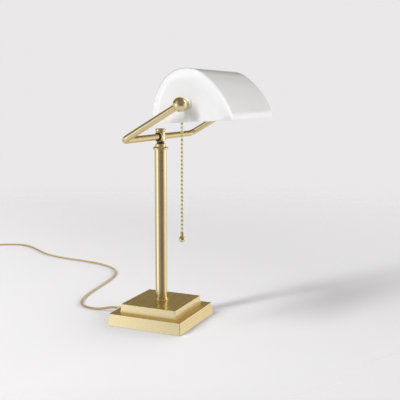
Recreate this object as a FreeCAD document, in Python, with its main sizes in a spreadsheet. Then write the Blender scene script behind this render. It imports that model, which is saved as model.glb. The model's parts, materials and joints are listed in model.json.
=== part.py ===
import FreeCAD, Part
import math
import os

import Sketcher

Vector = FreeCAD.Vector
Rotation = FreeCAD.Rotation
Placement = FreeCAD.Placement

# Driving dimensions, in millimetres and degrees.
# Row frame: origin on the floor under the column, +X along the shade, -Y towards the front, +Z up.
DIMENSIONS = {
    # fits
    "seat_gap": 0.05,
    "running_gap": 0.04,
    "free_gap": 0.3,
    # base
    "felt_thick": 2.0,
    "cover_thick": 1.0,
    "skirt_lift": 0.5,
    "plate_wall": 2.0,
    "edge_round": 0.8,
    "lower_foot": 127.0,
    "lower_draft": 3.5,
    "lower_rise": 18.95,
    "upper_foot": 98.0,
    "upper_draft": 3.0,
    "upper_rise": 13.75,
    "weight_gap": 0.6,
    "channel_wide": 11.0,
    "screw_reach": 46.0,
    "screw_head": 3.2,
    "screw_shank": 1.9,
    "screw_long": 7.0,
    # tie rod
    "rod_radius": 4.9,
    "rod_bore": 3.3,
    "rod_start": 6.0,
    "rod_nut_flats": 14.0,
    "rod_nut_thick": 5.5,
    "rod_washer_radius": 9.5,
    "rod_washer_thick": 1.5,
    "rod_pocket": 11.5,
    # column
    "column_radius": 9.525,
    "column_wall": 1.2,
    "column_long": 243.8,
    "foot_collar_radius": 11.6,
    "foot_collar_tall": 4.8,
    "cap_flange_radius": 12.0,
    "cap_flange_thick": 4.4,
    "cap_spigot": 9.0,
    "cap_shoulder_radius": 8.3,
    "cap_shoulder_tall": 4.6,
    "neck_radius": 5.8,
    "neck_tall": 3.7,
    # cross block
    "block_radius": 7.5,
    "block_tall": 15.9,
    "block_boss_radius": 7.0,
    "block_boss_half": 9.5,
    "bar_above_block": 7.65,
    "bush_wall": 1.1,
    "bush_inner_end": 3.5,
    "bush_flange": 6.9,
    "bush_flange_thick": 1.5,
    "clamp_cap_radius": 8.0,
    "clamp_cap_tall": 4.1,
    "clamp_thread": 3.0,
    "friction_pad_radius": 2.9,
    "friction_pad_tall": 1.5,
    # yoke
    "yoke_beyond_shade": 17.4,
    "arm_long": 103.7,
    "arm_rise_angle": 30.1,
    "yoke_radius": 4.76,
    "yoke_wall": 1.1,
    "yoke_bend": 10.0,
    "ball_radius": 10.25,
    "ball_socket": 5.5,
    # shade pivots
    "nipple_radius": 5.0,
    "nipple_bore": 3.2,
    "nipple_before_join": 1.0,
    "nipple_in_ball": 4.5,
    "pivot_collar_radius": 5.4,
    "bush_seat_flange": 8.6,
    "bush_seat_thick": 2.4,
    "bush_seat_sleeve": 7.0,
    "pivot_washer_radius": 8.8,
    "pivot_washer_thick": 1.5,
    "lock_nut_flats": 14.0,
    "lock_nut_thick": 4.0,
    "cap_nut_tall": 10.0,
    # shade, its outline measured from the pivot axis
    "shade_half": 100.0,
    "shade_wall": 3.0,
    "shade_apex_back": 5.3,
    "shade_apex_up": 50.7,
    "shade_rim_down": 24.8,
    "crown_radius": 45.3,
    "back_break": 52.0,
    "back_radius": 86.5,
    "front_break": 39.5,
    "front_radius": 131.0,
    "brow_break": 69.6,
    "brow_radius": 20.0,
    "shade_end_round": 16.0,
    "shade_tilt": 3.2,
    # lampholder, its join measured from the shade's end and the rest from the join
    "holder_long": 43.0,
    "holder_radius": 16.5,
    "holder_wall": 1.0,
    "holder_set_in": 24.0,
    "holder_neck": 8.0,
    "insulator_long": 19.5,
    "insulator_bore": 3.6,
    "sleeve_radius": 14.1,
    "sleeve_wall": 0.5,
    "sleeve_back": 1.0,
    # bulb, its neck and base measured from the lampholder's join
    "bulb_radius": 16.0,
    "bulb_wall": 1.0,
    "bulb_set_in": 28.0,
    "bulb_neck": 12.4,
    "bulb_neck_start": 42.0,
    "bulb_neck_end": 54.0,
    "base_radius": 13.2,
    "base_groove": 12.5,
    "base_end": 22.0,
    "tip_radius": 4.0,
    "tip_tall": 1.5,
    "thread_pitch": 3.6,
    "thread_count": 4.0,
    # switch and chain
    "chain_before_join": 16.0,
    "chain_behind": 24.2,
    "outlet_radius": 4.5,
    "outlet_bore": 3.2,
    "outlet_clear": 5.4,
    "ear_thick": 1.5,
    "ear_half_tall": 2.2,
    "ear_beyond": 2.2,
    "guide_radius": 4.4,
    "guide_bore": 2.6,
    "guide_half_tall": 2.5,
    "trunnion_radius": 0.8,
    "link_radius": 1.0,
    "link_head": 1.9,
    "link_start": -3.0,
    "link_end": 10.5,
    "bead_radius": 2.1,
    "bead_pitch": 5.97,
    "bead_count": 33.0,
    "bead_link": 0.55,
    "chain_top_up": 1.2,
    "connector_radius": 2.7,
    "pull_ball_radius": 4.8,
    "pull_ball_below": 9.5,
    # leads inside the metalwork
    "lead_radius": 1.3,
    "lead_bend": 3.0,
    # mains cord
    "cord_exit_up": 9.0,
    "cord_diameter": 3.8,
    "gland_neck": 4.2,
    "gland_flange": 6.0,
    "gland_flange_thick": 2.0,
    "gland_root": 4.4,
    "gland_tip": 2.7,
    "gland_out": 19.0,
    "coil_mean_radius": 21.0,
    "coil_rings": 4.0,
    "coil_lift": 0.6,
    "tie_wide": 7.0,
    "tie_thick": 0.5,
    # plug
    "plug_long": 30.0,
    "plug_wide": 25.0,
    "plug_tall": 15.9,
    "plug_round": 3.0,
    "plug_relief": 20.0,
    "blade_apart": 12.7,
    "blade_thick": 1.5,
    "blade_tall": 6.4,
    "blade_long": 16.5,
}

# Route of the mains cord from the tip of its strain relief to the coil, and from the coil to the plug.
CORD_ROUTE = [
    (0, 82.5, 9), (0, 93, 9), (0, 109, 4.6), (0, 125, 1.95), (1, 141, 1.95), (6, 154, 1.95), (17, 166, 1.95),
    (34, 175, 1.95), (57, 183, 1.95), (91, 190, 1.95), (134, 196, 1.95), (177, 203, 1.95), (210, 212, 1.95),
    (233, 223, 1.95), (254, 239, 1.95), (271, 263, 1.95), (284, 298, 1.95), (291, 340, 1.95), (295, 382, 1.95),
    (301, 419, 1.95), (314, 455, 1.95), (334, 487, 1.95), (354, 517, 1.95), (370, 548, 1.95), (373, 576, 1.95),
    (360, 604, 1.95), (342, 628, 2.1), (326, 652, 2.5),
]
COIL_CENTRE = (298.3, 647.7)
TAIL_ROUTE = [
    (288, 673.5, 6), (266, 672, 2.6), (240, 669, 1.95), (216, 672, 3.2), (196, 677, 8), (180, 680, 8),
]
PLUG_TURN = 169.4


class Size:
    """A number together with the spreadsheet expression that gives it."""

    def __init__(self, number, text):
        self.number = number
        self.text = text

    def __add__(self, other):
        other = as_size(other)
        return Size(self.number + other.number, f"({self.text} + {other.text})")

    def __sub__(self, other):
        other = as_size(other)
        return Size(self.number - other.number, f"({self.text} - {other.text})")

    def __mul__(self, other):
        other = as_size(other)
        return Size(self.number * other.number, f"({self.text} * {other.text})")

    def __truediv__(self, other):
        other = as_size(other)
        return Size(self.number / other.number, f"({self.text} / {other.text})")

    def __radd__(self, other):
        return as_size(other) + self

    def __rsub__(self, other):
        return as_size(other) - self

    def __neg__(self):
        return Size(-self.number, f"(-1 * {self.text})")


def as_size(value):
    if isinstance(value, Size):
        return value
    return Size(float(value), str(float(value)))


def sine(angle):
    return Size(math.sin(math.radians(angle.number)), f"sin({angle.text} * 1 deg)")


def cosine(angle):
    return Size(math.cos(math.radians(angle.number)), f"cos({angle.text} * 1 deg)")


def arctangent(value):
    return Size(math.degrees(math.atan(value.number)), f"atan({value.text})")


def root(value):
    return Size(math.sqrt(value.number), f"sqrt({value.text})")


doc = FreeCAD.newDocument("BankerLamp")
sheet = doc.addObject("Spreadsheet::Sheet", "Sizes")
for row, (alias, number) in enumerate(DIMENSIONS.items(), start=1):
    sheet.set(f"A{row}", alias)
    sheet.set(f"B{row}", str(number))
    sheet.setAlias(f"B{row}", alias)
doc.recompute()

S = {alias: Size(number, f"Sizes.{alias}") for alias, number in DIMENSIONS.items()}
NODES = []


def bind(thing, prop, size):
    thing.setExpression(prop, as_size(size).text)


def place(thing, at, rotation=None):
    """Puts a sub-part at three sizes, turned by a fixed rotation."""
    thing.Placement = Placement(Vector(), rotation or Rotation())
    for letter, size in zip("xyz", at):
        bind(thing, f"Placement.Base.{letter}", size)


def lean(thing, axis, angle):
    """Turns a sub-part about one axis by an angle from the spreadsheet."""
    thing.Placement = Placement(thing.Placement.Base, Rotation(axis, angle.number))
    thing.setExpression("Placement.Rotation.Angle", f"{angle.text} * 1 deg")


def node(thing, label, at=None, rotation=None):
    thing.Label = label
    if at is not None:
        place(thing, at, rotation)
    NODES.append(thing)
    return thing


# ---------------------------------------------------------------- sketches and bodies

def new_body(name):
    return doc.addObject("PartDesign::Body", name.title().replace("_", "") + "Body")


def new_sketch(body, plane, offset=None):
    sketch = body.newObject("Sketcher::SketchObject", "Sketch")
    flat = [item for item in body.Origin.OriginFeatures if item.Role == plane + "_Plane"][0]
    sketch.AttachmentSupport = [(flat, "")]
    sketch.MapMode = "FlatFace"
    if offset is not None:
        sketch.setExpression(".AttachmentOffset.Base.z", as_size(offset).text)
    return sketch


def dimension(sketch, kind, *which):
    """Adds one dimension, its last item a size, and binds it to the spreadsheet."""
    size = as_size(which[-1])
    index = sketch.addConstraint(Sketcher.Constraint(kind, *which[:-1], size.number))
    sketch.setExpression(f"Constraints[{index}]", size.text)


def draw_outline(sketch, corners, closed=True):
    """Lines between corners (x, y); a third item is the radius of an arc to the next corner,
    positive where it bulges to the right of the way along."""
    points = [Vector(as_size(c[0]).number, as_size(c[1]).number, 0) for c in corners]
    count = len(corners) if closed else len(corners) - 1
    first = sketch.GeometryCount
    ends = [(1, 2)] * count
    for i in range(count):
        start = points[i]
        end = points[(i + 1) % len(points)]
        if len(corners[i]) == 2:
            sketch.addGeometry(Part.LineSegment(start, end), False)
            continue
        radius = as_size(corners[i][2]).number
        chord = end - start
        side = Vector(chord.y, -chord.x, 0).normalize()
        rise = math.sqrt(max(radius * radius - chord.Length ** 2 / 4, 0))
        middle = (start + end) * 0.5
        sign = 1 if radius > 0 else -1
        centre = middle - side * rise * sign
        top = centre + (middle + side * sign - centre).normalize() * abs(radius)
        ends[i] = (1, 2) if radius > 0 else (2, 1)
        way = (start, top, end) if radius > 0 else (end, top, start)
        sketch.addGeometry(Part.Arc(*way), False)
    for i in range(count):
        dimension(sketch, "DistanceX", -1, 1, first + i, ends[i][0], corners[i][0])
        dimension(sketch, "DistanceY", -1, 1, first + i, ends[i][0], corners[i][1])
        if closed or i + 1 < count:
            following = (i + 1) % count
            sketch.addConstraint(Sketcher.Constraint(
                "Coincident", first + i, ends[i][1], first + following, ends[following][0]))
        if len(corners[i]) == 3:
            radius = as_size(corners[i][2])
            dimension(sketch, "Radius", first + i, radius if radius.number > 0 else -radius)
    if not closed:
        dimension(sketch, "DistanceX", -1, 1, first + count - 1, ends[-1][1], corners[-1][0])
        dimension(sketch, "DistanceY", -1, 1, first + count - 1, ends[-1][1], corners[-1][1])


def draw_circle(sketch, x, y, radius):
    x, y, radius = as_size(x), as_size(y), as_size(radius)
    circle = Part.Circle(Vector(x.number, y.number, 0), Vector(0, 0, 1), radius.number)
    index = sketch.addGeometry(circle, False)
    dimension(sketch, "Radius", index, radius)
    dimension(sketch, "DistanceX", -1, 1, index, 3, x)
    dimension(sketch, "DistanceY", -1, 1, index, 3, y)


def draw_square(sketch, side):
    half = side / 2
    draw_outline(sketch, [(-half, -half), (half, -half), (half, half), (-half, half)])


def revolve(body, corners):
    sketch = new_sketch(body, "XZ")
    draw_outline(sketch, corners)
    turn = body.newObject("PartDesign::Revolution", "Revolution")
    turn.Profile = sketch
    turn.ReferenceAxis = (sketch, ["V_Axis"])
    turn.Angle = 360
    return turn


def turned(label, corners, at, rotation=None):
    """A piece turned about its own Z axis from corners (radius, height)."""
    body = new_body(label)
    revolve(body, corners)
    return node(body, label, at, rotation)


def cut_away(body, feature):
    """Recomputes after a cut and makes sure that it took material away."""
    before = feature.BaseFeature.Shape.Volume
    doc.recompute()
    if feature.Shape.Volume > before - 1e-3:
        raise RuntimeError(f"{body.Label or body.Name}: {feature.Name} cuts nothing")


def pocket(body, plane, circles, depth, reversed_way, offset=None):
    doc.recompute()
    sketch = new_sketch(body, plane, offset)
    for x, y, radius in circles:
        draw_circle(sketch, x, y, radius)
    cut = body.newObject("PartDesign::Pocket", "Pocket")
    cut.Profile = sketch
    cut.Reversed = reversed_way
    bind(cut, "Length", depth)
    cut_away(body, cut)
    return cut


def slot_pocket(body, plane, corners, depth, reversed_way):
    doc.recompute()
    sketch = new_sketch(body, plane)
    draw_outline(sketch, corners)
    cut = body.newObject("PartDesign::Pocket", "Channel")
    cut.Profile = sketch
    cut.Reversed = reversed_way
    bind(cut, "Length", depth)
    cut_away(body, cut)


def edges_of(feature, wanted):
    return [f"Edge{i}" for i, edge in enumerate(feature.Shape.Edges, start=1) if wanted(edge)]


def round_edges(body, feature, wanted, radius):
    doc.recompute()
    fillet = body.newObject("PartDesign::Fillet", "Fillet")
    fillet.Base = (feature, edges_of(feature, wanted))
    bind(fillet, "Radius", radius)
    return fillet


def primitive(kind, sizes):
    thing = doc.addObject("Part::" + kind, kind)
    for prop, size in sizes.items():
        bind(thing, prop, size)
    return thing


def cylinder(radius, length, at=(0, 0, 0), rotation=None):
    thing = primitive("Cylinder", {"Radius": radius, "Height": length})
    place(thing, at, rotation)
    return thing


def cut_from(base, *tools):
    for tool in tools:
        cut = doc.addObject("Part::Cut", "Cut")
        cut.Base = base
        cut.Tool = tool
        base = cut
    return base


def hex_ring(label, flats, bore, thick, at, rotation=None):
    """A hexagon nut: a prism across its flats with a round bore."""
    prism = doc.addObject("Part::Prism", "Hexagon")
    prism.Polygon = 6
    bind(prism, "Circumradius", flats / (cosine(as_size(30)) * 2))
    bind(prism, "Height", thick)
    hole = cylinder(bore, thick + 2, (0, 0, as_size(-1)))
    return node(cut_from(prism, hole), label, at, rotation)


def ring(inner, outer, low, high):
    """Corners of a plain washer or sleeve."""
    return [(inner, low), (outer, low), (outer, high), (inner, high)]


# Turns of a piece's own Z axis: towards the near end, the far end, the back and the front.
TO_NEAR = Rotation(Vector(0, 1, 0), -90)
TO_FAR = Rotation(Vector(0, 1, 0), 90)
TO_BACK = Rotation(Vector(1, 0, 0), -90)
ZERO = as_size(0)

# ---------------------------------------------------------------- heights and places that follow

cover_low = S["felt_thick"]
weight_low = cover_low + S["cover_thick"]
lower_low = S["skirt_lift"]
lower_high = lower_low + S["lower_rise"]
upper_high = lower_high + S["upper_rise"]
rod_pocket_high = S["rod_start"] + S["running_gap"] + S["rod_nut_thick"] + S["rod_washer_thick"] + 0.5
column_high = upper_high + S["column_long"]
cap_high = column_high + S["cap_flange_thick"] + S["cap_shoulder_tall"]
block_low = cap_high + S["neck_tall"]
block_high = block_low + S["block_tall"]
bar_height = block_low + S["bar_above_block"]
bore_radius = S["yoke_radius"] + S["running_gap"] + S["bush_wall"] + S["seat_gap"]
rod_high = bar_height - bore_radius - 0.5
pivot_front = S["arm_long"] * cosine(S["arm_rise_angle"])
pivot_height = bar_height + S["arm_long"] * sine(S["arm_rise_angle"])
pivot_axis = (ZERO, -pivot_front, pivot_height)
cord_radius = S["cord_diameter"] / 2


# ---------------------------------------------------------------- base

def plate_shell(label, foot, top, rise, low, wall):
    """A drafted square shell, open below."""
    body = new_body(label)
    draft = -arctangent((foot - top) / 2 / rise)
    foot_sketch = new_sketch(body, "XY")
    draw_square(foot_sketch, foot)
    pad = body.newObject("PartDesign::Pad", "Plate")
    pad.Profile = foot_sketch
    bind(pad, "Length", rise)
    bind(pad, "TaperAngle", draft)
    round_edges(body, pad, lambda edge: edge.CenterOfMass.z > 0.01, S["edge_round"])
    doc.recompute()
    room_sketch = new_sketch(body, "XY")
    draw_square(room_sketch, foot - wall * 2)
    room = body.newObject("PartDesign::Pocket", "Room")
    room.Profile = room_sketch
    room.Reversed = True
    bind(room, "Length", rise - wall)
    bind(room, "TaperAngle", draft)
    cut_away(body, room)
    pocket(body, "XY", [(0, 0, S["rod_radius"] + S["seat_gap"])], rise + 1, True)
    return node(body, label, (ZERO, ZERO, low))


lower_top = S["lower_foot"] - S["lower_draft"]
upper_top = S["upper_foot"] - S["upper_draft"]
lower = plate_shell("base_plate_lower", S["lower_foot"], lower_top, S["lower_rise"], lower_low,
                    S["plate_wall"])
gland_hole_up = S["cord_exit_up"] - lower_low
pocket(lower, "XZ", [(0, gland_hole_up, S["gland_neck"] + S["seat_gap"])], S["lower_foot"], False)
plate_shell("base_plate_upper", S["upper_foot"], upper_top, S["upper_rise"], lower_high,
            S["plate_wall"])


def weight_block(label, side, low, high, bore):
    """A square iron block with rounded corners and a hole for the tie rod."""
    body = new_body(label)
    sketch = new_sketch(body, "XY")
    draw_square(sketch, side)
    pad = body.newObject("PartDesign::Pad", "Pad")
    pad.Profile = sketch
    bind(pad, "Length", high - low)
    round_edges(body, pad, lambda edge: abs(edge.tangentAt(edge.FirstParameter).z) > 0.9,
                S["edge_round"] * 4)
    pocket(body, "XY", [(0, 0, bore)], high - low + 1, True)
    return node(body, label, (ZERO, ZERO, low))


lower_room = lower_top - (S["plate_wall"] + S["weight_gap"]) * 2
upper_room = upper_top - (S["plate_wall"] + S["weight_gap"]) * 2
lower_weight = weight_block("base_weight_lower", lower_room, weight_low,
                            lower_high - S["plate_wall"] - S["seat_gap"], S["rod_radius"] + S["free_gap"])
pocket(lower_weight, "XY", [(0, 0, S["rod_pocket"])], rod_pocket_high - weight_low, True)
half_channel = S["channel_wide"] / 2
slot_pocket(lower_weight, "XY", [(-half_channel, 0), (half_channel, 0), (half_channel, lower_room),
                                 (-half_channel, lower_room)],
            S["cord_exit_up"] + half_channel - weight_low, True)
weight_block("base_weight_upper", upper_room, lower_high, upper_high - S["plate_wall"] - S["seat_gap"],
             S["rod_radius"] + S["free_gap"])


def sheet_square(label, side, low, thick, holes, corner):
    """A thin square sheet with round holes."""
    body = new_body(label)
    sketch = new_sketch(body, "XY")
    draw_square(sketch, side)
    for x, y, radius in holes:
        draw_circle(sketch, x, y, radius)
    pad = body.newObject("PartDesign::Pad", "Pad")
    pad.Profile = sketch
    bind(pad, "Length", thick)
    round_edges(body, pad, lambda edge: abs(edge.tangentAt(edge.FirstParameter).z) > 0.9
                and math.hypot(edge.CenterOfMass.x, edge.CenterOfMass.y) > side.number * 0.6, corner)
    return node(body, label, (ZERO, ZERO, low))


skirt_room = S["lower_foot"] - (S["plate_wall"] + S["weight_gap"] * 2) * 2
reach = S["screw_reach"]
screw_spots = [(reach, reach), (-reach, reach), (-reach, -reach), (reach, -reach)]
sheet_square("base_cover_plate", skirt_room, cover_low, S["cover_thick"],
             [(x, y, S["screw_shank"] + S["seat_gap"]) for x, y in screw_spots], S["edge_round"] * 4)
sheet_square("base_felt_pad", skirt_room, ZERO, S["felt_thick"],
             [(x, y, S["screw_head"] + S["free_gap"]) for x, y in screw_spots], S["edge_round"] * 4)
for number, (x, y) in enumerate(screw_spots, start=1):
    # each screw hole in the weight is tapped to the screw's own size
    pocket(lower_weight, "XY", [(x, y, S["screw_shank"] + S["seat_gap"])], S["screw_long"] + 1, True)
    head_low = cover_low - 1.4
    turned(f"base_screw_{number}", [
        (0, 0), (S["screw_head"], 0), (S["screw_head"], cover_low - head_low),
        (S["screw_shank"], cover_low - head_low), (S["screw_shank"], S["screw_long"]),
        (0, S["screw_long"])],
        (x, y, head_low))

# ---------------------------------------------------------------- tie rod and column

turned("tie_rod", ring(S["rod_bore"], S["rod_radius"], ZERO, rod_high - S["rod_start"]),
       (ZERO, ZERO, S["rod_start"]))
nut_low = S["rod_start"] + 0.5
hex_ring("tie_rod_nut", S["rod_nut_flats"], S["rod_radius"] + S["seat_gap"], S["rod_nut_thick"],
         (ZERO, ZERO, nut_low))
turned("tie_rod_washer", ring(S["rod_radius"] + S["seat_gap"], S["rod_washer_radius"], ZERO,
                              rod_pocket_high - nut_low - S["rod_nut_thick"]),
       (ZERO, ZERO, nut_low + S["rod_nut_thick"]))
turned("column_tube", ring(S["column_radius"] - S["column_wall"], S["column_radius"], ZERO, S["column_long"]),
       (ZERO, ZERO, upper_high))

bead = S["foot_collar_tall"] / 4
bead_round = bead * 1.1
collar_waist = S["foot_collar_radius"] - 0.7
turned("column_foot_collar", [
    (S["column_radius"] + S["seat_gap"], 0),
    (collar_waist, 0, bead_round), (collar_waist, bead * 2),
    (S["foot_collar_radius"] - 1.3, bead * 2 + 0.3),
    (collar_waist - 0.4, bead * 2 + 0.6, bead_round), (collar_waist - 0.4, bead * 4),
    (S["column_radius"] + S["seat_gap"], bead * 4)],
    (ZERO, ZERO, upper_high))

cap_bore = S["rod_radius"] + S["seat_gap"]
spigot_radius = S["column_radius"] - S["column_wall"] - S["seat_gap"]
flange = S["cap_flange_thick"]
shoulder_high = flange + S["cap_shoulder_tall"]
turned("column_cap", [
    (cap_bore, -S["cap_spigot"]), (spigot_radius, -S["cap_spigot"]), (spigot_radius, 0),
    (S["cap_flange_radius"] - 0.8, 0), (S["cap_flange_radius"], 0.8),
    (S["cap_flange_radius"], flange - 1.6),
    (S["cap_flange_radius"] - 1.2, flange - 0.6), (S["cap_flange_radius"] - 2.4, flange),
    (S["cap_shoulder_radius"], flange + 0.6), (S["cap_shoulder_radius"], shoulder_high - 0.6),
    (S["cap_shoulder_radius"] - 0.6, shoulder_high), (cap_bore, shoulder_high)],
    (ZERO, ZERO, column_high))
turned("neck_ring", ring(cap_bore, S["neck_radius"], ZERO, S["neck_tall"]), (ZERO, ZERO, cap_high))

# ---------------------------------------------------------------- cross block

block = new_body("cross_block")
edge = as_size(0.7)
block_top = S["block_tall"]
revolve(block, [
    (0, 0), (S["block_radius"] - edge, 0), (S["block_radius"], edge), (S["block_radius"], block_top - edge),
    (S["block_radius"] - edge, block_top), (0, block_top)])
doc.recompute()
boss_sketch = new_sketch(block, "YZ")
draw_circle(boss_sketch, 0, S["bar_above_block"], S["block_boss_radius"])
boss = block.newObject("PartDesign::Pad", "Boss")
boss.Profile = boss_sketch
boss.SideType = "Symmetric"
bind(boss, "Length", S["block_boss_half"] * 2)
doc.recompute()
bore_sketch = new_sketch(block, "YZ")
draw_circle(bore_sketch, 0, S["bar_above_block"], bore_radius)
bar_bore = block.newObject("PartDesign::Pocket", "BarBore")
bar_bore.Profile = bore_sketch
bar_bore.SideType = "Symmetric"
bind(bar_bore, "Length", S["block_boss_half"] * 2 + 2)
cut_away(block, bar_bore)
pocket(block, "XY", [(0, 0, cap_bore)], rod_high - block_low, True)
pocket(block, "XY", [(0, 0, S["rod_bore"])], S["bar_above_block"], True)
thread_hole = (0, 0, S["clamp_thread"] + S["seat_gap"])
pocket(block, "XY", [thread_hole], S["block_tall"] - S["bar_above_block"], False,
       S["block_tall"])
node(block, "cross_block", (ZERO, ZERO, block_low))

bush_bore = S["yoke_radius"] + S["running_gap"]
bush_outer = bush_bore + S["bush_wall"]
for side, rotation in (("near", TO_NEAR), ("far", TO_FAR)):
    turned(f"bar_bush_{side}", [
        (bush_bore, S["bush_inner_end"]), (bush_outer, S["bush_inner_end"]),
        (bush_outer, S["block_boss_half"]),
        (S["bush_flange"], S["block_boss_half"]),
        (S["bush_flange"] - 0.5, S["block_boss_half"] + S["bush_flange_thick"]),
        (bush_bore, S["block_boss_half"] + S["bush_flange_thick"])],
        (ZERO, ZERO, bar_height), rotation)

pad_low = bar_height + S["yoke_radius"] + S["running_gap"]
pad_high = pad_low + S["friction_pad_tall"]
turned("friction_pad", ring(ZERO, S["friction_pad_radius"], ZERO, S["friction_pad_tall"]),
       (ZERO, ZERO, pad_low))
cap_seat = block_high + 0.3
cap_tall = S["clamp_cap_tall"]
turned("clamp_cap", [
    (0, pad_high - cap_seat), (S["clamp_thread"], pad_high - cap_seat), (S["clamp_thread"], 0),
    (S["clamp_cap_radius"] - 0.7, 0), (S["clamp_cap_radius"], 0.7), (S["clamp_cap_radius"], cap_tall - 1.2),
    (S["clamp_cap_radius"] - 1.0, cap_tall - 0.3), (S["clamp_cap_radius"] - 2.6, cap_tall), (0, cap_tall)],
    (ZERO, ZERO, cap_seat))

# ---------------------------------------------------------------- yoke

# The yoke lies in its own XY plane: its bar along X, its arms along Y.
half = S["shade_half"] + S["yoke_beyond_shade"]
bend = S["yoke_bend"]
arm_end = S["arm_long"] - S["ball_socket"]
yoke_lean = as_size(180) - S["arm_rise_angle"]


def yoke_route(end):
    return [(-half, end), (-half, bend, bend), (bend - half, 0), (half - bend, 0, bend), (half, bend),
            (half, end)]


yoke = new_body("yoke_tube")
spine = new_sketch(yoke, "XY")
draw_outline(spine, yoke_route(arm_end), closed=False)
section = new_sketch(yoke, "XZ", -arm_end)
draw_circle(section, -half, 0, S["yoke_radius"])
draw_circle(section, -half, 0, S["yoke_radius"] - S["yoke_wall"])
pipe = yoke.newObject("PartDesign::AdditivePipe", "Pipe")
pipe.Profile = section
pipe.Spine = spine
doc.recompute()
# the leads enter the bar through a slot under the cross block
pocket(yoke, "XY", [(0, 0, S["rod_bore"])], S["yoke_radius"], True)
node(yoke, "yoke_tube", (ZERO, ZERO, bar_height))
lean(yoke, Vector(1, 0, 0), yoke_lean)


def ball_gap(radius):
    """How far the ball's surface stands from its centre at a distance from the pivot axis."""
    return root(S["ball_radius"] * S["ball_radius"] - radius * radius)


def along_arm(distance):
    return (distance * cosine(S["arm_rise_angle"]), -distance * sine(S["arm_rise_angle"]))


bush_face = S["shade_half"] + S["bush_seat_thick"]
bush_back = S["shade_half"] - S["shade_wall"] - S["bush_seat_thick"]
washer_face = bush_back - S["free_gap"]
nut_face = washer_face - S["pivot_washer_thick"]
holder_face = nut_face - S["lock_nut_thick"]
nipple_outer = S["nipple_radius"] + S["seat_gap"]
join = S["shade_half"] - S["holder_set_in"]
collar_radius = S["pivot_collar_radius"]
for side, sign, outwards, inwards in (("near", -1, TO_NEAR, TO_FAR), ("far", 1, TO_FAR, TO_NEAR)):
    sphere = primitive("Sphere", {"Radius": S["ball_radius"]})
    nipple_hole = cylinder(nipple_outer, S["ball_radius"] * 2, (S["nipple_in_ball"] * -sign, ZERO, ZERO),
                           inwards)
    lead_hole = cylinder(S["nipple_bore"], S["ball_radius"], (ZERO, ZERO, ZERO), inwards)
    back, down = along_arm(S["ball_socket"])
    arm_hole = cylinder(S["yoke_radius"] + S["seat_gap"], S["ball_radius"] * 2, (ZERO, back, down))
    lead_turn = cylinder(S["nipple_bore"], S["ball_radius"], (ZERO, ZERO, ZERO))
    for hole in (arm_hole, lead_turn):
        lean(hole, Vector(-1, 0, 0), S["arm_rise_angle"] + 90)
    node(cut_from(sphere, nipple_hole, lead_hole, arm_hole, lead_turn), f"pivot_ball_{side}",
         (half * sign, -pivot_front, pivot_height))
    turned(f"pivot_collar_{side}", [
        (nipple_outer, bush_face + S["free_gap"]), (collar_radius + 0.8, bush_face + S["free_gap"]),
        (collar_radius + 0.8, bush_face + S["free_gap"] + 1.6),
        (collar_radius, bush_face + S["free_gap"] + 2.4),
        (collar_radius, half - ball_gap(collar_radius) - S["seat_gap"] * 2),
        (nipple_outer, half - ball_gap(nipple_outer) - S["seat_gap"] * 2)],
        pivot_axis, outwards)
    nipple_low = join + S["nipple_before_join"] if side == "near" else nut_face - S["cap_nut_tall"] + 3
    turned(f"pivot_nipple_{side}", ring(S["nipple_bore"], S["nipple_radius"], nipple_low,
                                        half - S["nipple_in_ball"]), pivot_axis, outwards)
    turned(f"pivot_washer_{side}", ring(nipple_outer, S["pivot_washer_radius"], nut_face, washer_face),
           pivot_axis, outwards)
hex_ring("lock_nut_near", S["lock_nut_flats"], nipple_outer, S["lock_nut_thick"],
         (-nut_face, -pivot_front, pivot_height), TO_FAR)
nut_round = S["lock_nut_flats"] / 2
turned("cap_nut_far", [
    (0, nut_face - S["cap_nut_tall"]), (nut_round - 2.5, nut_face - S["cap_nut_tall"]),
    (nut_round, nut_face - S["cap_nut_tall"] + 3), (nut_round, nut_face), (nipple_outer, nut_face),
    (nipple_outer, nut_face - S["cap_nut_tall"] + 2.5), (0, nut_face - S["cap_nut_tall"] + 2.5)],
    pivot_axis, TO_FAR)

# ---------------------------------------------------------------- shade

rim_up = -S["shade_rim_down"]
apex_back = S["shade_apex_back"]
crown = S["crown_radius"]
crown_up = S["shade_apex_up"] - crown


def shade_outline(wall):
    """The shade's section, seen from its far end: the back is at +X of the sketch."""
    back_turn, front_turn, brow_turn = S["back_break"], S["front_break"], S["brow_break"]
    back_x = apex_back + (crown - S["back_radius"]) * sine(back_turn)
    back_up = crown_up + (crown - S["back_radius"]) * cosine(back_turn)
    front_x = apex_back - (crown - S["front_radius"]) * sine(front_turn)
    front_up = crown_up + (crown - S["front_radius"]) * cosine(front_turn)
    brow_x = front_x - (S["front_radius"] - S["brow_radius"]) * sine(brow_turn)
    brow_up = front_up + (S["front_radius"] - S["brow_radius"]) * cosine(brow_turn)
    back, front, brow, top = (radius - wall for radius in (S["back_radius"], S["front_radius"],
                                                           S["brow_radius"], crown))
    return [
        (back_x + back, rim_up), (back_x + back, back_up, back),
        (apex_back + top * sine(back_turn), crown_up + top * cosine(back_turn), top),
        (apex_back - top * sine(front_turn), crown_up + top * cosine(front_turn), front),
        (front_x - front * sine(brow_turn), front_up + front * cosine(brow_turn), brow),
        (brow_x - brow, brow_up), (brow_x - brow, rim_up)]


def shade_blank(body, wall):
    """The outline drawn out both ways, its ends rounded all round but at the rim."""
    sketch = new_sketch(body, "YZ")
    draw_outline(sketch, shade_outline(wall))
    pad = body.newObject("PartDesign::Pad", "Pad")
    pad.Profile = sketch
    pad.SideType = "Symmetric"
    bind(pad, "Length", (S["shade_half"] - wall) * 2)
    end = (S["shade_half"] - wall).number
    return round_edges(body, pad, lambda edge: abs(abs(edge.CenterOfMass.x) - end) < 0.01
                       and edge.CenterOfMass.z > rim_up.number + 0.01, S["shade_end_round"] - wall)


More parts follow.
